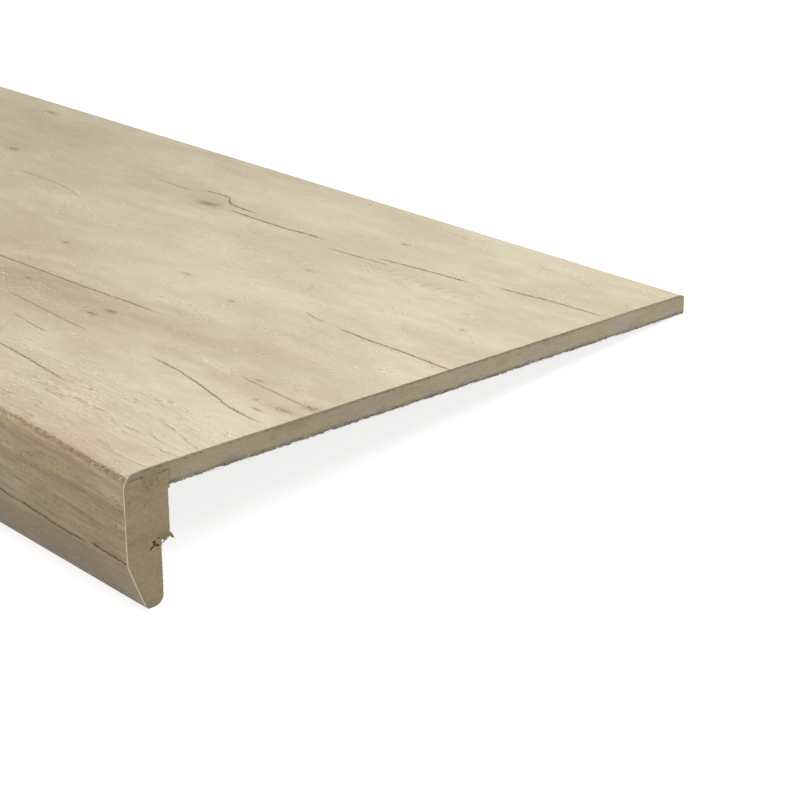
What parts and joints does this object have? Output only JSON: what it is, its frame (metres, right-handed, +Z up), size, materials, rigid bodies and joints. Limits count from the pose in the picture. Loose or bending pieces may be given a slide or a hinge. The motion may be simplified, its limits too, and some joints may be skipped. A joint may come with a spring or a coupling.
{
  "type": "laminate stair tread",
  "caption": "Oak-look laminate stair tread: thin flat panel with a deep, round-edged, bevelled nosing at the front, to be glued over an old step",
  "frame": {"origin": "middle of the tread's footprint, on the floor that it lies on", "axes": "+X along the tread's length, +Y from the nosing towards the back edge, +Z up. The tread lies as it does when put down unheld: on the nosing's tip and on the back edge, leaning back by 9.01 degrees. Turn it by +9.01 degrees about +X to bring the walking surface level, as when it is laid."},
  "size_m": [1, 0.3016, 0.0552],
  "materials": {
    "hdf_board": "sawn high-density fibreboard, matt",
    "mdf_block": "sawn fibreboard, matt",
    "oak_laminate": "decor laminate printed as pale weathered oak, satin with pressed grain"
  },
  "bodies": {
    "root": {"tread_panel": "hdf_board", "nosing_block": "mdf_block", "decor_laminate": "oak_laminate"}
  },
  "joints": []
}
